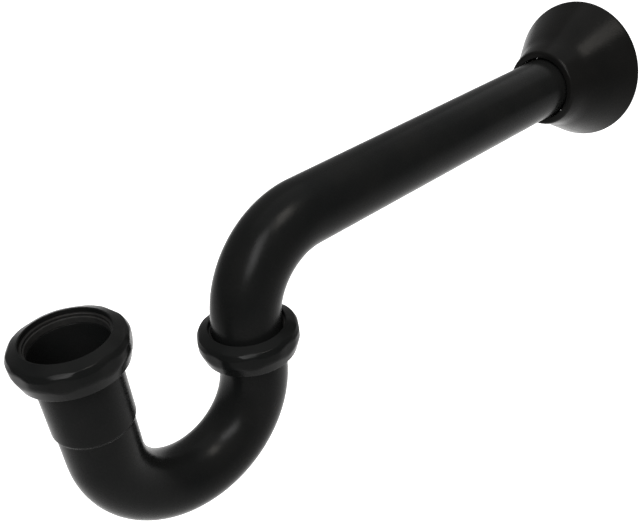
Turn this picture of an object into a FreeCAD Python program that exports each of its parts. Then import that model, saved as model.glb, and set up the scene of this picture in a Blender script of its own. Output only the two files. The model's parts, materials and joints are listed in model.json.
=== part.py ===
# Tubular brass P trap for a lavatory, 1-1/4 inch: a J-bend, a wall bend, two slip joints and a bell escutcheon.
# Units are millimetres. The origin is the centre of the inlet socket's mouth, +Z is up, +X points to the wall.

import FreeCAD, Part
import math
import os

Vector = FreeCAD.Vector

# Tube: 1-1/4 inch outside diameter, 17 gauge wall.
TUBE_RADIUS = 15.875
TUBE_WALL = 1.14
TUBE_BORE = TUBE_RADIUS - TUBE_WALL
BEND_RADIUS = 39.6

# Main positions.
OUTLET_X = 2 * BEND_RADIUS
INLET_MOUTH_Z = 0.0
OUTLET_MOUTH_Z = -38.5
ARM_Z = 6.2
U_BEND_Z = -53.3
WALL_X = 337.0
ARM_END_X = WALL_X + 20.0
LEG_INSERTION = 5.0

# Swaged sockets on the two ends of the J-bend.
SOCKET_BORE = 16.0
SOCKET_WALL = 1.0
SOCKET_RADIUS = SOCKET_BORE + SOCKET_WALL
INLET_SOCKET_DEPTH = 35.4
OUTLET_SOCKET_DEPTH = 6.0
SWAGE_RUN = 1.4
SOCKET_TAIL = 2.0
LIP_ROUNDING = 0.3

# Slip-joint thread: male on the ferrules, female in the nuts, right-handed, in mesh at rest.
THREAD_PITCH = 2.2
MALE_ROOT = 18.75
MALE_CREST = 19.85
FEMALE_CREST = 19.05
FEMALE_ROOT = 20.15
MALE_ROOT_WIDTH = 1.45
MALE_CREST_WIDTH = 0.45
FEMALE_EXTRA_WIDTH = 0.4
THREAD_OVERLAP = 0.25
FLANK_TAPER = (MALE_ROOT_WIDTH - MALE_CREST_WIDTH) / (MALE_CREST - MALE_ROOT)
# The gap between male ridges and the female groove start half a pitch apart, so ridge and groove are in step.
MALE_GAP_TURNS = 6
MALE_GAP_PITCHES_DOWN = 4.5
FEMALE_GROOVE_TURNS = 7
FEMALE_GROOVE_PITCHES_DOWN = 5
FERRULE_LENGTH = 6.0
FERRULE_CHAMFER = 0.6

# Slip nut, measured up and down from the socket's mouth.
NUT_TOP = 6.4
NUT_BOTTOM = -7.9
NUT_HOLE = 17.45
NUT_LIP = 2.2
NUT_SHOULDER_RADIUS = 22.3
NUT_SHOULDER_Z = 4.1
NUT_BODY_RADIUS = 23.4
NUT_BAND_TOP = 1.8
NUT_BAND_BOTTOM = -1.9
NUT_FOOT_RADIUS = 21.4
NUT_THREAD_TOP = 0.4
NUT_LEAD_IN = 1.2
FLAT_COUNT = 8
FLAT_DISTANCE = 22.95
FLAT_FIRST_ANGLE = 10.0
FLAT_CHAMFER_SUM = 25.9
CUTTER_SIZE = 40.0

# Rings under the nuts.
WASHER_THICKNESS = 3.0
WASHER_ROUNDING = 0.4
RING_THICKNESS = NUT_TOP - NUT_LIP - WASHER_THICKNESS
RING_BORE = 16.5
RING_ROUNDING = 0.2
PACKING_RADIUS = 18.9

# Bell escutcheon, measured along the arm from the wall plane.
BELL_DEPTH = 37.0
BELL_RIM_RADIUS = 38.1
BELL_SKIRT = 0.9
BELL_SHEET = 1.3
COLLAR_FRONT_RADIUS = 20.2
COLLAR_RADIUS = 24.0
COLLAR_BORE = 16.9
COLLAR_CONE_START = 26.0
COLLAR_LENGTH = 11.4
COLLAR_ROUNDING = 1.8
FLARE_FILLET = 6.0
RIM_ROUNDING = 1.2
O_RING_SECTION = 1.2
O_RING_INNER = 16.0
O_RING_SETBACK = 28.6
GROOVE_ROOT = 18.5
GROOVE_WIDTH = 2.8
GROOVE_CORNER = 0.3


def corner_arc(corner, before, after, radius):
    """Return where a fillet of this radius starts and ends at a corner, and the point halfway round it."""
    to_before = (before - corner).normalize()
    to_after = (after - corner).normalize()
    half_angle = to_before.getAngle(to_after) / 2
    bisector = (to_before + to_after).normalize()
    centre = corner + bisector * (radius / math.sin(half_angle))
    trim = radius / math.tan(half_angle)
    return corner + to_before * trim, centre - bisector * radius, corner + to_after * trim


def outline(corners):
    """Closed wire in the XZ plane from (x, z, fillet radius) corners."""
    points = [Vector(x, 0, z) for x, z, radius in corners]
    edges = []
    starts = []
    ends = []
    for index, (x, z, radius) in enumerate(corners):
        corner = points[index]
        if radius == 0:
            starts.append(corner)
            ends.append(corner)
            continue
        before = points[index - 1]
        after = points[(index + 1) % len(points)]
        start, middle, end = corner_arc(corner, before, after, radius)
        edges.append(Part.Arc(start, middle, end).toShape())
        starts.append(start)
        ends.append(end)
    for index, end in enumerate(ends):
        start = starts[(index + 1) % len(starts)]
        edges.append(Part.LineSegment(end, start).toShape())
    return Part.Wire(Part.sortEdges(edges)[0])


def turned(corners):
    """Solid of revolution about Z from an outline of (radius, height, fillet radius) corners."""
    return Part.Face(outline(corners)).revolve(Vector(0, 0, 0), Vector(0, 0, 1), 360)


def swept_rod(path, radius):
    """Solid round rod of the given radius along a path that starts vertically."""
    start = path.Edges[0].valueAt(path.Edges[0].FirstParameter)
    section = Part.Wire(Part.makeCircle(radius, start, Vector(0, 0, 1)))
    return path.makePipeShell([section], True, False)


def swept_tube(path):
    """Bent tube of the trap's own section along a path."""
    return swept_rod(path, TUBE_RADIUS).cut(swept_rod(path, TUBE_BORE))


def bend(centre_x, centre_z, start_angle, end_angle):
    """Quarter or half bend in the XZ plane, with angles in degrees from +X towards +Z."""
    angles = (start_angle, (start_angle + end_angle) / 2, end_angle)
    points = []
    for angle in angles:
        dx = BEND_RADIUS * math.cos(math.radians(angle))
        dz = BEND_RADIUS * math.sin(math.radians(angle))
        points.append(Vector(centre_x + dx, 0, centre_z + dz))
    return Part.Arc(*points).toShape()


def run(x0, z0, x1, z1):
    """Straight edge in the XZ plane."""
    return Part.LineSegment(Vector(x0, 0, z0), Vector(x1, 0, z1)).toShape()


def swaged_socket(depth):
    """Expanded tube end with its mouth at the origin, opening upwards."""
    step = -depth - SWAGE_RUN
    tail = -depth - SOCKET_TAIL
    return turned([
        (SOCKET_BORE, 0, LIP_ROUNDING),
        (SOCKET_BORE, -depth, SWAGE_RUN),
        (TUBE_BORE, step, LIP_ROUNDING),
        (TUBE_BORE, tail, 0),
        (TUBE_RADIUS, tail, 0),
        (TUBE_RADIUS, step, LIP_ROUNDING),
        (SOCKET_RADIUS, -depth, LIP_ROUNDING),
        (SOCKET_RADIUS, 0, LIP_ROUNDING),
    ])


def j_bend():
    """Return bend with a deep socket for the tailpiece and a short one for the wall bend."""
    inlet_start = INLET_MOUTH_Z - INLET_SOCKET_DEPTH - SOCKET_TAIL
    outlet_end = OUTLET_MOUTH_Z - OUTLET_SOCKET_DEPTH - SOCKET_TAIL
    path = Part.Wire([
        run(0, inlet_start, 0, U_BEND_Z),
        bend(BEND_RADIUS, U_BEND_Z, 180, 270),
        bend(BEND_RADIUS, U_BEND_Z, 270, 360),
        run(OUTLET_X, U_BEND_Z, OUTLET_X, outlet_end),
    ])
    inlet_socket = swaged_socket(INLET_SOCKET_DEPTH)
    outlet_socket = swaged_socket(OUTLET_SOCKET_DEPTH)
    inlet_socket.translate(Vector(0, 0, INLET_MOUTH_Z))
    outlet_socket.translate(Vector(OUTLET_X, 0, OUTLET_MOUTH_Z))
    return swept_tube(path).fuse([inlet_socket, outlet_socket]).removeSplitter()


def wall_bend():
    """Trap arm: a short leg down into the outlet socket, a quarter bend and a straight run to the wall."""
    leg_end = OUTLET_MOUTH_Z - LEG_INSERTION
    elbow_start = ARM_Z - BEND_RADIUS
    path = Part.Wire([
        run(OUTLET_X, leg_end, OUTLET_X, elbow_start),
        bend(OUTLET_X + BEND_RADIUS, elbow_start, 180, 90),
        run(OUTLET_X + BEND_RADIUS, ARM_Z, ARM_END_X, ARM_Z),
    ])
    return swept_tube(path)


def thread_sweep(inner, outer, inner_width, outer_width, bottom, turns):
    """Right-handed helical bar for cutting a thread; it starts at the +X side at height bottom."""
    section = Part.makePolygon([
        Vector(inner, 0, bottom - inner_width / 2),
        Vector(outer, 0, bottom - outer_width / 2),
        Vector(outer, 0, bottom + outer_width / 2),
        Vector(inner, 0, bottom + inner_width / 2),
        Vector(inner, 0, bottom - inner_width / 2),
    ])
    helix = Part.makeHelix(THREAD_PITCH, turns * THREAD_PITCH, inner)
    helix.translate(Vector(0, 0, bottom))
    return Part.Wire(helix.Edges).makePipeShell([section], True, True)


def threaded_ferrule():
    """Ring brazed round a socket's mouth, with the male slip-joint thread; its top is at the origin."""
    blank = turned([
        (SOCKET_RADIUS, 0, 0),
        (MALE_CREST - FERRULE_CHAMFER, 0, 0),
        (MALE_CREST, -FERRULE_CHAMFER, 0),
        (MALE_CREST, FERRULE_CHAMFER - FERRULE_LENGTH, 0),
        (MALE_CREST - FERRULE_CHAMFER, -FERRULE_LENGTH, 0),
        (SOCKET_RADIUS, -FERRULE_LENGTH, 0),
    ])
    root_gap = THREAD_PITCH - MALE_ROOT_WIDTH
    outer_gap = THREAD_PITCH - MALE_CREST_WIDTH + FLANK_TAPER * THREAD_OVERLAP
    bottom = -MALE_GAP_PITCHES_DOWN * THREAD_PITCH
    outer = MALE_CREST + THREAD_OVERLAP
    return blank.cut(thread_sweep(MALE_ROOT, outer, root_gap, outer_gap, bottom, MALE_GAP_TURNS))


def nut_blank():
    """Barrel-shaped nut with an inturned lip at the top and a plain bore."""
    lip_bottom = NUT_TOP - NUT_LIP
    return turned([
        (NUT_HOLE, NUT_TOP, 0.4),
        (NUT_SHOULDER_RADIUS, NUT_SHOULDER_Z, 1.0),
        (NUT_BODY_RADIUS, NUT_BAND_TOP, 2.0),
        (NUT_BODY_RADIUS, NUT_BAND_BOTTOM, 8.0),
        (NUT_FOOT_RADIUS, NUT_BOTTOM, 0.4),
        (FEMALE_CREST + NUT_LEAD_IN, NUT_BOTTOM, 0),
        (FEMALE_CREST, NUT_BOTTOM + NUT_LEAD_IN, 0),
        (FEMALE_CREST, lip_bottom, 0),
        (NUT_HOLE, lip_bottom, 0),
    ])


def flat_cutter(angle):
    """Everything outside one wrench flat and the bevel above it."""
    bevel_start = FLAT_CHAMFER_SUM - FLAT_DISTANCE
    bevel_end = bevel_start + CUTTER_SIZE
    far = FLAT_DISTANCE + CUTTER_SIZE
    section = Part.makePolygon([
        Vector(FLAT_DISTANCE, 0, NUT_BOTTOM - CUTTER_SIZE),
        Vector(FLAT_DISTANCE, 0, bevel_start),
        Vector(FLAT_DISTANCE - CUTTER_SIZE, 0, bevel_end),
        Vector(far, 0, bevel_end),
        Vector(far, 0, NUT_BOTTOM - CUTTER_SIZE),
        Vector(FLAT_DISTANCE, 0, NUT_BOTTOM - CUTTER_SIZE),
    ])
    cutter = Part.Face(section).extrude(Vector(0, 2 * CUTTER_SIZE, 0))
    cutter.translate(Vector(0, -CUTTER_SIZE, 0))
    cutter.rotate(Vector(0, 0, 0), Vector(0, 0, 1), angle)
    return cutter


def slip_nut():
    """Slip nut with wrench flats and the female thread; the origin is the mouth of the socket it closes."""
    nut = nut_blank()
    for index in range(FLAT_COUNT):
        nut = nut.cut(flat_cutter(FLAT_FIRST_ANGLE + index * 360 / FLAT_COUNT))
    groove_start = FEMALE_CREST - THREAD_OVERLAP
    mouth_width = MALE_ROOT_WIDTH + FLANK_TAPER * (MALE_ROOT - groove_start) + FEMALE_EXTRA_WIDTH
    root_width = MALE_CREST_WIDTH + FLANK_TAPER * (MALE_CREST - FEMALE_ROOT) + FEMALE_EXTRA_WIDTH
    bottom = -FEMALE_GROOVE_PITCHES_DOWN * THREAD_PITCH
    groove = thread_sweep(groove_start, FEMALE_ROOT, mouth_width, root_width, bottom, FEMALE_GROOVE_TURNS)
    reach = Part.makeCylinder(NUT_BODY_RADIUS, NUT_THREAD_TOP - NUT_BOTTOM, Vector(0, 0, NUT_BOTTOM))
    return nut.cut(groove.common(reach))


def friction_ring():
    """Hard flat ring between the washer and the nut's lip, so that the nut turns without dragging the washer."""
    bottom = WASHER_THICKNESS
    top = WASHER_THICKNESS + RING_THICKNESS
    return turned([
        (RING_BORE, bottom, RING_ROUNDING),
        (RING_BORE, top, RING_ROUNDING),
        (PACKING_RADIUS, top, RING_ROUNDING),
        (PACKING_RADIUS, bottom, RING_ROUNDING),
    ])


def washer():
    """Square-cut rubber slip-joint washer that rests on the socket's mouth."""
    return turned([
        (SOCKET_BORE, 0, WASHER_ROUNDING),
        (SOCKET_BORE, WASHER_THICKNESS, WASHER_ROUNDING),
        (PACKING_RADIUS, WASHER_THICKNESS, WASHER_ROUNDING),
        (PACKING_RADIUS, 0, WASHER_ROUNDING),
    ])


def along_arm(shape):
    """Turn a shape built about Z so that its +Z end faces the wall, and move its origin to the wall plane."""
    shape.rotate(Vector(0, 0, 0), Vector(0, 1, 0), 90)
    shape.translate(Vector(WALL_X, 0, ARM_Z))
    return shape


def escutcheon():
    """Bell-shaped wall flange: a heavy tapered collar with an O-ring groove, and a thin flared bell."""
    collar_back = COLLAR_LENGTH - BELL_DEPTH
    slope = (BELL_RIM_RADIUS - COLLAR_RADIUS) / (COLLAR_CONE_START - BELL_SKIRT)
    sheet_radially = BELL_SHEET * math.hypot(1, slope)
    inner_rim = BELL_RIM_RADIUS - BELL_SHEET
    inner_skirt = BELL_SKIRT + (BELL_SHEET - sheet_radially) / slope
    inner_start = COLLAR_RADIUS + slope * (collar_back + COLLAR_CONE_START) - sheet_radially
    groove_front = -O_RING_SETBACK - GROOVE_WIDTH / 2
    groove_back = -O_RING_SETBACK + GROOVE_WIDTH / 2
    return along_arm(turned([
        (COLLAR_BORE, -BELL_DEPTH, GROOVE_CORNER),
        (COLLAR_FRONT_RADIUS, -BELL_DEPTH, COLLAR_ROUNDING),
        (COLLAR_RADIUS, -COLLAR_CONE_START, FLARE_FILLET),
        (BELL_RIM_RADIUS, -BELL_SKIRT, RIM_ROUNDING),
        (BELL_RIM_RADIUS, 0, 0),
        (inner_rim, 0, 0),
        (inner_rim, -inner_skirt, 0),
        (inner_start, collar_back, 0),
        (COLLAR_BORE, collar_back, GROOVE_CORNER),
        (COLLAR_BORE, groove_back, 0),
        (GROOVE_ROOT, groove_back, 0),
        (GROOVE_ROOT, groove_front, 0),
        (COLLAR_BORE, groove_front, 0),
    ]))


def escutcheon_o_ring():
    """Rubber ring that grips the arm inside the collar."""
    ring = Part.makeTorus(O_RING_INNER + O_RING_SECTION, O_RING_SECTION)
    ring.translate(Vector(0, 0, -O_RING_SETBACK))
    return along_arm(ring)


def slip_joint(side, x, mouth_z):
    """The four pieces of one slip joint, keyed by node name."""
    pieces = {
        side + "_threaded_ferrule": threaded_ferrule(),
        side + "_washer": washer(),
        side + "_friction_ring": friction_ring(),
        side + "_slip_nut": slip_nut(),
    }
    for piece in pieces.values():
        piece.translate(Vector(x, 0, mouth_z))
    return pieces


def all_parts():
    """Every sub-part of the trap, keyed by node name."""
    parts = {"j_bend": j_bend(), "wall_bend": wall_bend()}
    parts.update(slip_joint("inlet", 0, INLET_MOUTH_Z))
    parts.update(slip_joint("outlet", OUTLET_X, OUTLET_MOUTH_Z))
    parts["escutcheon"] = escutcheon()
    parts["escutcheon_o_ring"] = escutcheon_o_ring()
    return parts


os.makedirs("parts", exist_ok=True)
for name, shape in all_parts().items():
    print(name, "valid" if shape.isValid() else "INVALID", len(shape.Solids), round(shape.Volume, 1))
    shape.exportStep("parts/" + name + ".step")
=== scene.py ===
import json
import math

import bpy
from mathutils import Matrix, Vector


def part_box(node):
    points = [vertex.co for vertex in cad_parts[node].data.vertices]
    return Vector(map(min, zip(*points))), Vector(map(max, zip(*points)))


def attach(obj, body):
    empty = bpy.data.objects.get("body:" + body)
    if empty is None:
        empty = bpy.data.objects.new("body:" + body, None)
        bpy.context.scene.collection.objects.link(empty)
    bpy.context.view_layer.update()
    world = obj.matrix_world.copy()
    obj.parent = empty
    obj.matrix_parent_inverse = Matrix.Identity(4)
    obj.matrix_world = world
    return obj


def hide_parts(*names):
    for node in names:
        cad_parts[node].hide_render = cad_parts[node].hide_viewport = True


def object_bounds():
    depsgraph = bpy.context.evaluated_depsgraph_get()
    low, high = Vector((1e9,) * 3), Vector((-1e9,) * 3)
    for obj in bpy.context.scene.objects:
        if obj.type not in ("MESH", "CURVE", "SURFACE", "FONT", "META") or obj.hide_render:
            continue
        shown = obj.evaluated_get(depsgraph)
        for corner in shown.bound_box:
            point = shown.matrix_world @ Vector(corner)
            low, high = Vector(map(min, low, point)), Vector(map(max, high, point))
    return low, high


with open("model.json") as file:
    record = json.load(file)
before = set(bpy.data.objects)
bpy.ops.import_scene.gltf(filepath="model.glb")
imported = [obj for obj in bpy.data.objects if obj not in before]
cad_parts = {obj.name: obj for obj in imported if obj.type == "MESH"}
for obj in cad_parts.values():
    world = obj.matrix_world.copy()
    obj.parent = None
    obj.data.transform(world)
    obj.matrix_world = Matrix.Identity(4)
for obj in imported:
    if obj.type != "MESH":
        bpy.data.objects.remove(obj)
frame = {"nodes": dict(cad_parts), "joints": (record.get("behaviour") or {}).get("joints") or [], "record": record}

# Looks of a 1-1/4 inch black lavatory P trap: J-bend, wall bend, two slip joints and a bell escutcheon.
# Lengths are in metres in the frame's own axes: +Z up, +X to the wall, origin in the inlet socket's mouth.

CAD_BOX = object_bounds()
MM = 0.001

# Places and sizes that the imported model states.
MOUNTS = {mount["name"]: mount for mount in frame["record"]["mounts"]}
JOINTS = {joint["name"]: joint for joint in frame["joints"]}
TUBE_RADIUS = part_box("wall_bend")[1].y
SOCKET_BORE = MOUNTS["tailpiece_socket"]["dims"]["r_mm"] * MM
INLET = Vector(MOUNTS["tailpiece_socket"]["pos_m"])
OUTLET = Vector(JOINTS["trap_swivel"]["pos_m"])
ARM_Z = MOUNTS["wall_end"]["pos_m"][2]
WALL_X = JOINTS["flange_spin"]["pos_m"][0]
BEND_RADIUS = (OUTLET.x - INLET.x) / 2
U_BEND_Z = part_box("j_bend")[0].z + TUBE_RADIUS + BEND_RADIUS
LEG_END_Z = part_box("wall_bend")[0].z
ARM_END_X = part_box("wall_bend")[1].x
BELL_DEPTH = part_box("escutcheon")[1].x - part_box("escutcheon")[0].x
BELL_RIM_RADIUS = (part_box("escutcheon")[1].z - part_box("escutcheon")[0].z) / 2

# Sizes of the surface detail.
TUBE_WALL = 1.14 * MM
TUBE_BORE = TUBE_RADIUS - TUBE_WALL
SOCKET_WALL = 1.0 * MM
SOCKET_RADIUS = SOCKET_BORE + SOCKET_WALL
INLET_SOCKET_DEPTH = 35.4 * MM
OUTLET_SOCKET_DEPTH = 6.0 * MM
SWAGE_RUN = 1.4 * MM
EDGE_ROUNDING = 0.3 * MM
SWAGE_ROUNDING = 1.0 * MM

NUT_TOP = 6.4 * MM
NUT_BOTTOM = -7.9 * MM
NUT_HOLE = 17.45 * MM
NUT_LIP = 2.2 * MM
NUT_SHOULDER = 22.3 * MM
NUT_SHOULDER_Z = 4.1 * MM
NUT_BODY = 23.4 * MM
NUT_BAND_TOP = 1.8 * MM
NUT_BAND_BOTTOM = -1.9 * MM
NUT_FOOT = 21.4 * MM
NUT_BORE = 19.05 * MM
NUT_LEAD_IN = 1.2 * MM
NUT_THREAD_TOP = 0.4 * MM
NUT_EDGE_ROUNDING = 0.4 * MM
NUT_SHOULDER_ROUNDING = 1.0 * MM
NUT_BAND_ROUNDING = 2.0 * MM
NUT_FOOT_ROUNDING = 8.0 * MM
NUT_LIP_ROUNDING = 0.2 * MM
THREAD_PITCH = 2.2 * MM
THREAD_DEPTH = 1.1 * MM
THREAD_MOUTH = 1.58 * MM
THREAD_ROOT = 0.58 * MM
FLAT_COUNT = 8
FLAT_DISTANCE = 22.95 * MM
FLAT_FIRST_ANGLE = math.radians(10)
FLAT_BEVEL_SUM = 25.9 * MM
FLAT_SOFTNESS = 0.4 * MM

# The collar's lip is the narrower bore behind the O-ring, which closes the clearance round the arm.
COLLAR_FRONT = 20.2 * MM
COLLAR_RADIUS = 24.0 * MM
COLLAR_BORE = 16.9 * MM
COLLAR_LIP = 16.2 * MM
COLLAR_CONE_START = 26.0 * MM
COLLAR_LENGTH = 11.4 * MM
COLLAR_ROUNDING = 1.8 * MM
FLARE_FILLET = 40.0 * MM
BELL_SKIRT = 0.9 * MM
BELL_SHEET = 1.3 * MM
RIM_ROUNDING = 1.2 * MM
SHEET_ROUNDING = EDGE_ROUNDING / 3
GROOVE_ROOT = 18.5 * MM
GROOVE_FRONT = 30.0 * MM
GROOVE_BACK = 27.2 * MM

# Fineness of the meshes.
ROUND_SEGMENTS = 160
NUT_SEGMENTS = 480
ARC_STEPS = 6
RUN_STEP = 1.0 * MM
NUT_STEP = THREAD_PITCH / 16


# Profiles

def rounded(corners):
    """Closed profile through (along, radius, fillet) corners, with each fillet drawn as a short arc."""
    points = []
    for index, (along, radius, fillet) in enumerate(corners):
        here = Vector((along, radius))
        if fillet == 0:
            points.append(here)
            continue
        before = Vector(corners[index - 1][:2])
        after = Vector(corners[(index + 1) % len(corners)][:2])
        to_before = (before - here).normalized()
        to_after = (after - here).normalized()
        half_angle = to_before.angle(to_after) / 2
        centre = here + (to_before + to_after).normalized() * (fillet / math.sin(half_angle))
        start = here + to_before * (fillet / math.tan(half_angle)) - centre
        end = here + to_after * (fillet / math.tan(half_angle)) - centre
        sweep = start.angle_signed(end)
        for step in range(ARC_STEPS + 1):
            turned = start.copy()
            turned.rotate(Matrix.Rotation(-sweep * step / ARC_STEPS, 2))
            points.append(centre + turned)
    return points


def subdivided(points, longest):
    """The closed profile with its long runs divided, so that a run can bend or take detail."""
    result = []
    for index, point in enumerate(points):
        following = points[(index + 1) % len(points)]
        count = max(1, math.ceil((following - point).length / longest))
        for step in range(count):
            result.append(point.lerp(following, step / count))
    return result


# Centre lines, each a function from the distance along it to a point and a direction in the XZ plane

def direction(angle):
    """Unit vector in the XZ plane, turned from +X towards +Z."""
    return Vector((math.cos(angle), 0, math.sin(angle)))


def bend_point(centre, start_angle, distance, turn):
    """Point and direction on a bend that turns one way (1) or the other (-1) from +X towards +Z."""
    angle = start_angle + turn * distance / BEND_RADIUS
    return centre + direction(angle) * BEND_RADIUS, direction(angle + turn * math.pi / 2)


def j_bend_line(distance):
    """Down from the inlet mouth, round the U and up to the outlet mouth."""
    down = INLET.z - U_BEND_Z
    half_turn = math.pi * BEND_RADIUS
    if distance < down:
        return INLET + Vector((0, 0, -distance)), Vector((0, 0, -1))
    if distance < down + half_turn:
        centre = Vector((INLET.x + BEND_RADIUS, 0, U_BEND_Z))
        return bend_point(centre, math.pi, distance - down, 1)
    up = distance - down - half_turn
    return Vector((OUTLET.x, 0, U_BEND_Z + up)), Vector((0, 0, 1))


def wall_bend_line(distance):
    """Up out of the outlet socket, round the elbow and along the arm."""
    elbow_z = ARM_Z - BEND_RADIUS
    leg = elbow_z - LEG_END_Z
    quarter_turn = math.pi / 2 * BEND_RADIUS
    if distance < leg:
        return Vector((OUTLET.x, 0, LEG_END_Z + distance)), Vector((0, 0, 1))
    if distance < leg + quarter_turn:
        centre = Vector((OUTLET.x + BEND_RADIUS, 0, elbow_z))
        return bend_point(centre, math.pi, distance - leg, -1)
    along = distance - leg - quarter_turn
    return Vector((OUTLET.x + BEND_RADIUS + along, 0, ARM_Z)), Vector((1, 0, 0))


def arm_axis(distance):
    """The arm's axis, measured from the wall plane towards the wall."""
    return Vector((WALL_X + distance, 0, ARM_Z)), Vector((1, 0, 0))


J_BEND_LENGTH = (INLET.z - U_BEND_Z) + math.pi * BEND_RADIUS + (OUTLET.z - U_BEND_Z)
WALL_BEND_LEG = ARM_Z - BEND_RADIUS - LEG_END_Z
WALL_BEND_ARM = ARM_END_X - OUTLET.x - BEND_RADIUS
WALL_BEND_LENGTH = WALL_BEND_LEG + math.pi / 2 * BEND_RADIUS + WALL_BEND_ARM


# Meshes

def ring_mesh(name, rings):
    """Smooth closed skin through a closed series of equal rings of points."""
    count = len(rings[0])
    vertices = [point for ring in rings for point in ring]
    faces = []
    for index in range(len(rings)):
        this_ring = index * count
        next_ring = (index + 1) % len(rings) * count
        for step in range(count):
            after = (step + 1) % count
            faces.append((this_ring + step, this_ring + after, next_ring + after, next_ring + step))
    mesh = bpy.data.meshes.new(name)
    mesh.from_pydata(vertices, [], faces)
    mesh.validate()
    mesh.update()
    mesh.shade_smooth()
    piece = bpy.data.objects.new(name, mesh)
    bpy.context.scene.collection.objects.link(piece)
    return piece


def pipe(name, line, profile):
    """Hollow round piece along a centre line; the profile gives distance along it and radius."""
    rings = []
    for along, radius in profile:
        centre, forward = line(along)
        side = Vector((0, 1, 0))
        up = forward.cross(side)
        ring = []
        for step in range(ROUND_SEGMENTS):
            angle = math.tau * step / ROUND_SEGMENTS
            ring.append(centre + (side * math.cos(angle) + up * math.sin(angle)) * radius)
        rings.append(ring)
    return ring_mesh(name, rings)


def turned_piece(name, place, profile, surface):
    """Piece turned about Z at a place; surface(height, radius, angle) gives the finished radius."""
    rings = []
    for height, radius in profile:
        ring = []
        for step in range(NUT_SEGMENTS):
            angle = math.tau * step / NUT_SEGMENTS
            finished = surface(height, radius, angle)
            ring.append(place + Vector((finished * math.cos(angle), finished * math.sin(angle), height)))
        rings.append(ring)
    return ring_mesh(name, rings)


def soft_min(a, b, softness):
    """The smaller of two lengths, blended where they are close, as a polished edge is."""
    overlap = max(softness - abs(a - b), 0) / softness
    return min(a, b) - overlap * overlap * softness / 4


def thread_groove(height, angle):
    """Depth of the female thread's groove at a height and an angle round the bore."""
    turns = height / THREAD_PITCH - angle / math.tau
    offset = abs(turns - round(turns)) * THREAD_PITCH
    flank = (THREAD_MOUTH - THREAD_ROOT) / 2
    return THREAD_DEPTH * min(1, max(0, (THREAD_MOUTH / 2 - offset) / flank))


def nut_surface(height, radius, angle):
    """Radius of the finished nut: wrench flats with a bevel above each, and the thread in the bore."""
    if radius < NUT_BORE + THREAD_DEPTH and height < NUT_THREAD_TOP:
        return max(radius, NUT_BORE + thread_groove(height, angle))
    spacing = math.tau / FLAT_COUNT
    from_flat = (angle - FLAT_FIRST_ANGLE + spacing / 2) % spacing - spacing / 2
    flat = FLAT_DISTANCE / math.cos(from_flat)
    bevel = (FLAT_BEVEL_SUM - height) / math.cos(from_flat)
    return soft_min(soft_min(radius, flat, FLAT_SOFTNESS), bevel, FLAT_SOFTNESS)


# Pieces

def j_bend_piece():
    """Return bend with a deep swaged socket at the inlet and a short one at the outlet."""
    inlet_step = INLET_SOCKET_DEPTH + SWAGE_RUN
    outlet_end = J_BEND_LENGTH
    outlet_depth = outlet_end - OUTLET_SOCKET_DEPTH
    outlet_step = outlet_depth - SWAGE_RUN
    profile = rounded([
        (0, SOCKET_BORE, EDGE_ROUNDING),
        (0, SOCKET_RADIUS, EDGE_ROUNDING),
        (INLET_SOCKET_DEPTH, SOCKET_RADIUS, SWAGE_ROUNDING),
        (inlet_step, TUBE_RADIUS, SWAGE_ROUNDING),
        (outlet_step, TUBE_RADIUS, EDGE_ROUNDING),
        (outlet_depth, SOCKET_RADIUS, EDGE_ROUNDING),
        (outlet_end, SOCKET_RADIUS, EDGE_ROUNDING),
        (outlet_end, SOCKET_BORE, EDGE_ROUNDING),
        (outlet_depth, SOCKET_BORE, EDGE_ROUNDING),
        (outlet_step, TUBE_BORE, EDGE_ROUNDING),
        (inlet_step, TUBE_BORE, EDGE_ROUNDING),
        (INLET_SOCKET_DEPTH, SOCKET_BORE, EDGE_ROUNDING),
    ])
    return pipe("j_bend_skin", j_bend_line, subdivided(profile, RUN_STEP))


def wall_bend_piece():
    """Trap arm with its elbow and the leg that goes down into the outlet socket."""
    profile = rounded([
        (0, TUBE_BORE, EDGE_ROUNDING),
        (0, TUBE_RADIUS, EDGE_ROUNDING),
        (WALL_BEND_LENGTH, TUBE_RADIUS, EDGE_ROUNDING),
        (WALL_BEND_LENGTH, TUBE_BORE, EDGE_ROUNDING),
    ])
    return pipe("wall_bend_skin", wall_bend_line, subdivided(profile, RUN_STEP))


def nut_piece(name, place):
    """Slip nut with an inturned lip, wrench flats and a real thread."""
    lip_bottom = NUT_TOP - NUT_LIP
    profile = rounded([
        (NUT_TOP, NUT_HOLE, NUT_EDGE_ROUNDING),
        (NUT_SHOULDER_Z, NUT_SHOULDER, NUT_SHOULDER_ROUNDING),
        (NUT_BAND_TOP, NUT_BODY, NUT_BAND_ROUNDING),
        (NUT_BAND_BOTTOM, NUT_BODY, NUT_FOOT_ROUNDING),
        (NUT_BOTTOM, NUT_FOOT, NUT_EDGE_ROUNDING),
        (NUT_BOTTOM, NUT_BORE + NUT_LEAD_IN, 0),
        (NUT_BOTTOM + NUT_LEAD_IN, NUT_BORE, 0),
        (lip_bottom, NUT_BORE, NUT_LIP_ROUNDING),
        (lip_bottom, NUT_HOLE, NUT_LIP_ROUNDING),
    ])
    return turned_piece(name, place, subdivided(profile, NUT_STEP), nut_surface)


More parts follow.
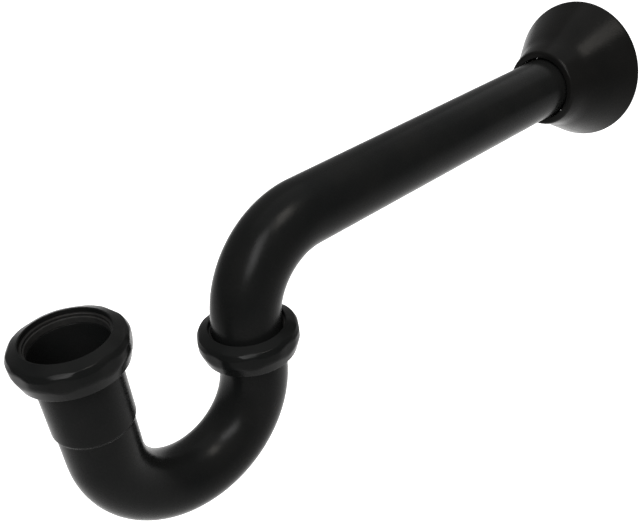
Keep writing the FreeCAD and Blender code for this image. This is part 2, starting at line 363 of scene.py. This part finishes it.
def escutcheon_piece():
    """Bell flange: heavy tapered collar with an O-ring groove, and a thin flared bell with a rounded rim."""
    slope = (BELL_RIM_RADIUS - COLLAR_RADIUS) / (COLLAR_CONE_START - BELL_SKIRT)
    sheet = BELL_SHEET * math.hypot(1, slope)
    inner_skirt = BELL_SKIRT + (BELL_SHEET - sheet) / slope
    collar_back = COLLAR_LENGTH - BELL_DEPTH
    inner_start = COLLAR_RADIUS + slope * (collar_back + COLLAR_CONE_START) - sheet
    profile = rounded([
        (-BELL_DEPTH, COLLAR_BORE, EDGE_ROUNDING),
        (-BELL_DEPTH, COLLAR_FRONT, COLLAR_ROUNDING),
        (-COLLAR_CONE_START, COLLAR_RADIUS, FLARE_FILLET),
        (-BELL_SKIRT, BELL_RIM_RADIUS, RIM_ROUNDING),
        (0, BELL_RIM_RADIUS, SHEET_ROUNDING),
        (0, BELL_RIM_RADIUS - BELL_SHEET, SHEET_ROUNDING),
        (-inner_skirt, BELL_RIM_RADIUS - BELL_SHEET, SHEET_ROUNDING),
        (collar_back, inner_start, EDGE_ROUNDING),
        (collar_back, COLLAR_LIP, EDGE_ROUNDING),
        (-GROOVE_BACK, COLLAR_LIP, EDGE_ROUNDING),
        (-GROOVE_BACK, GROOVE_ROOT, EDGE_ROUNDING),
        (-GROOVE_FRONT, GROOVE_ROOT, EDGE_ROUNDING),
        (-GROOVE_FRONT, COLLAR_BORE, EDGE_ROUNDING),
    ])
    return pipe("escutcheon_skin", arm_axis, subdivided(profile, RUN_STEP))


# Materials

# The middle part of a noise's range, which colours and roughness run over.
NOISE_LOW = 0.3
NOISE_HIGH = 0.7

# Noises are (cells per metre, levels of detail).
DRIFT = (45, 3)
HAZE = (220, 4)
PEEL = (1800, 2)
PEEL_DEPTH = 0.004 * MM
PEEL_STRENGTH = 0.35
COAT_SPECULAR = 0.036
COAT_DARK = (0.0036, 0.0039, 0.0039)
COAT_LIGHT = (0.0050, 0.0051, 0.0050)
WARM_COAT_DARK = (0.0034, 0.0035, 0.0034)
WARM_COAT_LIGHT = (0.0048, 0.0047, 0.0045)

BRASS_TONE = (300, 3)
BRASS_DARK = (0.42, 0.28, 0.10)
BRASS_LIGHT = (0.62, 0.45, 0.20)
TURNING_MARKS = (2600, 2)
MARK_DEPTH = 0.006 * MM
MARK_STRENGTH = 0.4

MOULDED_TONE = (260, 3)
MOULDED_SPECULAR = 0.12
RUBBER_DARK = (0.006, 0.006, 0.006)
RUBBER_LIGHT = (0.010, 0.010, 0.0095)
RUBBER_GRAIN = (1500, 3)
PLASTIC_DARK = (0.0055, 0.0055, 0.0055)
PLASTIC_LIGHT = (0.0085, 0.0083, 0.0080)
PLASTIC_GRAIN = (1100, 3)
GRAIN_DEPTH = 0.02 * MM
GRAIN_STRENGTH = 0.5


def new_material(name):
    """New node material; returns it with its nodes, its linker and its Principled shader."""
    material = bpy.data.materials.new(name)
    material.use_nodes = True
    tree = material.node_tree
    return material, tree.nodes, tree.links.new, tree.nodes["Principled BSDF"]


def noise(nodes, link, scale, detail):
    """Noise in the object's own coordinates."""
    place = nodes.new("ShaderNodeTexCoord")
    texture = nodes.new("ShaderNodeTexNoise")
    texture.inputs["Scale"].default_value = scale
    texture.inputs["Detail"].default_value = detail
    link(place.outputs["Object"], texture.inputs["Vector"])
    return texture.outputs["Fac"]


def ramp_between(nodes, link, factor, low, high):
    """Colour that runs from low to high over the middle of a noise."""
    ramp = nodes.new("ShaderNodeValToRGB")
    ramp.color_ramp.elements[0].position = NOISE_LOW
    ramp.color_ramp.elements[0].color = (*low, 1)
    ramp.color_ramp.elements[1].position = NOISE_HIGH
    ramp.color_ramp.elements[1].color = (*high, 1)
    link(factor, ramp.inputs["Fac"])
    return ramp.outputs["Color"]


def range_between(nodes, link, factor, low, high):
    """Value that runs from low to high over the middle of a noise."""
    span = nodes.new("ShaderNodeMapRange")
    span.inputs["From Min"].default_value = NOISE_LOW
    span.inputs["From Max"].default_value = NOISE_HIGH
    span.inputs["To Min"].default_value = low
    span.inputs["To Max"].default_value = high
    link(factor, span.inputs["Value"])
    return span.outputs["Result"]


def add_bump(nodes, link, shader, height, distance, strength):
    """Fine relief on a shader's normal."""
    bump = nodes.new("ShaderNodeBump")
    bump.inputs["Distance"].default_value = distance
    bump.inputs["Strength"].default_value = strength
    link(height, bump.inputs["Height"])
    link(bump.outputs["Normal"], shader.inputs["Normal"])


def black_coat(name, low, high, smooth, rough):
    """Satin black coating on brass: near-black colour that drifts a little, and a fine orange peel."""
    material, nodes, link, shader = new_material(name)
    drift = noise(nodes, link, *DRIFT)
    link(ramp_between(nodes, link, drift, low, high), shader.inputs["Base Color"])
    haze = noise(nodes, link, *HAZE)
    link(range_between(nodes, link, haze, smooth, rough), shader.inputs["Roughness"])
    shader.inputs["Specular IOR Level"].default_value = COAT_SPECULAR
    peel = noise(nodes, link, *PEEL)
    add_bump(nodes, link, shader, peel, PEEL_DEPTH, PEEL_STRENGTH)
    return material


def brass(name, smooth, rough):
    """Machined brass with fine turning marks."""
    material, nodes, link, shader = new_material(name)
    tone = noise(nodes, link, *BRASS_TONE)
    link(ramp_between(nodes, link, tone, BRASS_DARK, BRASS_LIGHT), shader.inputs["Base Color"])
    shader.inputs["Metallic"].default_value = 1
    marks = noise(nodes, link, *TURNING_MARKS)
    link(range_between(nodes, link, marks, smooth, rough), shader.inputs["Roughness"])
    add_bump(nodes, link, shader, marks, MARK_DEPTH, MARK_STRENGTH)
    return material


def moulded(name, low, high, smooth, rough, grain):
    """Moulded rubber or plastic with a fine matte grain."""
    material, nodes, link, shader = new_material(name)
    tone = noise(nodes, link, *MOULDED_TONE)
    link(ramp_between(nodes, link, tone, low, high), shader.inputs["Base Color"])
    grip = noise(nodes, link, *grain)
    link(range_between(nodes, link, grip, smooth, rough), shader.inputs["Roughness"])
    shader.inputs["Specular IOR Level"].default_value = MOULDED_SPECULAR
    add_bump(nodes, link, shader, grip, GRAIN_DEPTH, GRAIN_STRENGTH)
    return material


def paint(piece, material):
    """Give a piece one material."""
    piece.data.materials.clear()
    piece.data.materials.append(material)


def paint_node(node, material):
    """Give a carried-over CAD node a better material."""
    for material_slot in frame["nodes"][node].material_slots:
        material_slot.material = material


# Build

TUBE_BLACK = black_coat("tube_black", COAT_DARK, COAT_LIGHT, smooth=0.23, rough=0.30)
NUT_BLACK = black_coat("nut_black", COAT_DARK, COAT_LIGHT, smooth=0.20, rough=0.27)
FLANGE_BLACK = black_coat("flange_black", WARM_COAT_DARK, WARM_COAT_LIGHT, smooth=0.23, rough=0.30)
BARE_BRASS = brass("bare_brass", smooth=0.25, rough=0.42)
WASHER_RUBBER = moulded(
    "washer_rubber", RUBBER_DARK, RUBBER_LIGHT, smooth=0.6, rough=0.85, grain=RUBBER_GRAIN)
RING_PLASTIC = moulded(
    "ring_plastic", PLASTIC_DARK, PLASTIC_LIGHT, smooth=0.42, rough=0.58, grain=PLASTIC_GRAIN)


def dress(piece, body, node, material):
    """Put a finished piece on its body in place of a CAD node."""
    paint(piece, material)
    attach(piece, body)
    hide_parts(node)


dress(j_bend_piece(), "j_bend", "j_bend", TUBE_BLACK)
dress(wall_bend_piece(), "arm", "wall_bend", TUBE_BLACK)
dress(nut_piece("inlet_nut_skin", INLET), "inlet_nut", "inlet_slip_nut", NUT_BLACK)
dress(nut_piece("outlet_nut_skin", OUTLET), "outlet_nut", "outlet_slip_nut", NUT_BLACK)
dress(escutcheon_piece(), "flange", "escutcheon", FLANGE_BLACK)

for side in ("inlet", "outlet"):
    paint_node(side + "_threaded_ferrule", BARE_BRASS)
    paint_node(side + "_washer", WASHER_RUBBER)
    paint_node(side + "_friction_ring", RING_PLASTIC)
paint_node("escutcheon_o_ring", WASHER_RUBBER)


# Stage, light and camera

FLOOR_DROP = 0.35
FLOOR_HALF = 6.0
FLOOR_PALE = (0.8, 0.8, 0.8)
FLOOR_ROUGHNESS = 0.9
WHITE = (1, 1, 1)
WARM_WHITE = (1, 0.95, 0.88)

# The floor's painted glow and the surround's light grow brighter towards the back of the set: where from and to,
# how dim and bright.
BACK = Vector((0.64, 0.77, 0))
FLOOR_FADE = (-0.4, 0.2)
FLOOR_GLOW = (0.05, 0.95)
SURROUND_FADE = (-0.3, 0.7)
SURROUND_GLOW = (0.10, 0.5)

CAMERA_PLACE = (-0.0852, -0.2495, 0.1717)
CAMERA_AZIMUTH = math.radians(39.55)
CAMERA_ELEVATION = math.radians(35.25)
CAMERA_ROLL = math.radians(6.54)
CAMERA_LENS = 45.46
CAMERA_SENSOR = 36
CAMERA_SHIFT = (0.00125, 0.1008)


def fade(nodes, link, place, low, high, dim, bright):
    """Value that rises from dim to bright as a place or direction moves towards the back of the set."""
    dot = nodes.new("ShaderNodeVectorMath")
    dot.operation = "DOT_PRODUCT"
    dot.inputs[1].default_value = BACK
    link(place, dot.inputs[0])
    span = nodes.new("ShaderNodeMapRange")
    span.interpolation_type = "SMOOTHSTEP"
    span.inputs["From Min"].default_value = low
    span.inputs["From Max"].default_value = high
    span.inputs["To Min"].default_value = dim
    span.inputs["To Max"].default_value = bright
    link(dot.outputs["Value"], span.inputs["Value"])
    return span.outputs["Result"]


def floor():
    """Plain pale floor below the hanging trap, with a painted glow: its emission grows brighter towards the back
    of the set.
    """
    z = CAD_BOX[0].z - FLOOR_DROP
    half = FLOOR_HALF
    mesh = bpy.data.meshes.new("floor")
    corners = [(-half, -half, z), (half, -half, z), (half, half, z), (-half, half, z)]
    mesh.from_pydata(corners, [], [(0, 1, 2, 3)])
    plane = bpy.data.objects.new("floor", mesh)
    bpy.context.scene.collection.objects.link(plane)
    material, nodes, link, shader = new_material("floor_pale_painted_glow")
    shader.inputs["Base Color"].default_value = (*FLOOR_PALE, 1)
    shader.inputs["Roughness"].default_value = FLOOR_ROUGHNESS
    shader.inputs["Specular IOR Level"].default_value = 0
    # Painted glow: the floor's emission stands in for light falling on it, brighter towards the back of the set.
    shader.inputs["Emission Color"].default_value = (*WHITE, 1)
    place = nodes.new("ShaderNodeTexCoord").outputs["Object"]
    link(fade(nodes, link, place, *FLOOR_FADE, *FLOOR_GLOW), shader.inputs["Emission Strength"])
    paint(plane, material)


def softbox(name, azimuth, elevation, distance, width, height, radiance, colour=WHITE):
    """Rectangular soft light that looks at the trap; azimuth is from +X towards +Y, in degrees."""
    target = (CAD_BOX[0] + CAD_BOX[1]) / 2
    around = math.radians(azimuth)
    above = math.radians(elevation)
    outward = Vector((
        math.cos(around) * math.cos(above),
        math.sin(around) * math.cos(above),
        math.sin(above),
    ))
    data = bpy.data.lights.new(name, "AREA")
    data.shape = "RECTANGLE"
    data.size = width
    data.size_y = height
    data.energy = radiance * math.pi * width * height
    data.color = colour
    light = bpy.data.objects.new(name, data)
    light.location = target + outward * distance
    light.rotation_mode = "QUATERNION"
    light.rotation_quaternion = outward.to_track_quat("Z", "Y")
    light.visible_camera = False
    bpy.context.scene.collection.objects.link(light)


def camera():
    """Camera above and to the left, looking along the arm towards the wall."""
    data = bpy.data.cameras.new("camera")
    data.lens = CAMERA_LENS
    data.sensor_width = CAMERA_SENSOR
    data.shift_x, data.shift_y = CAMERA_SHIFT
    forward = Vector((
        math.sin(CAMERA_AZIMUTH) * math.cos(CAMERA_ELEVATION),
        math.cos(CAMERA_AZIMUTH) * math.cos(CAMERA_ELEVATION),
        -math.sin(CAMERA_ELEVATION),
    ))
    view = bpy.data.objects.new("camera", data)
    view.location = CAMERA_PLACE
    turn = forward.to_track_quat("-Z", "Y") @ Matrix.Rotation(-CAMERA_ROLL, 3, "Z").to_quaternion()
    view.rotation_mode = "QUATERNION"
    view.rotation_quaternion = turn
    bpy.context.scene.collection.objects.link(view)
    bpy.context.scene.camera = view


def world_light():
    """Grey surround, lighter towards the back of the set."""
    world = bpy.data.worlds.new("surround")
    world.use_nodes = True
    nodes = world.node_tree.nodes
    link = world.node_tree.links.new
    direction_in = nodes.new("ShaderNodeTexCoord").outputs["Generated"]
    glow = fade(nodes, link, direction_in, *SURROUND_FADE, *SURROUND_GLOW)
    link(glow, nodes["Background"].inputs["Strength"])
    nodes["Background"].inputs["Color"].default_value = (*WHITE, 1)
    bpy.context.scene.world = world


floor()
world_light()
softbox("overhead", azimuth=0, elevation=84, distance=2.2, width=2.4, height=2.4, radiance=1.15)
softbox("back_light", azimuth=8, elevation=32, distance=2.5, width=1.8, height=0.9, radiance=0.9)
softbox("front_left", azimuth=218, elevation=41, distance=1.3, width=0.40, height=0.90, radiance=19)
softbox(
    "front_right", azimuth=267, elevation=63, distance=1.3, width=0.38, height=0.50, radiance=20,
    colour=WARM_WHITE)
camera()
bpy.context.scene.view_settings.view_transform = "Standard"
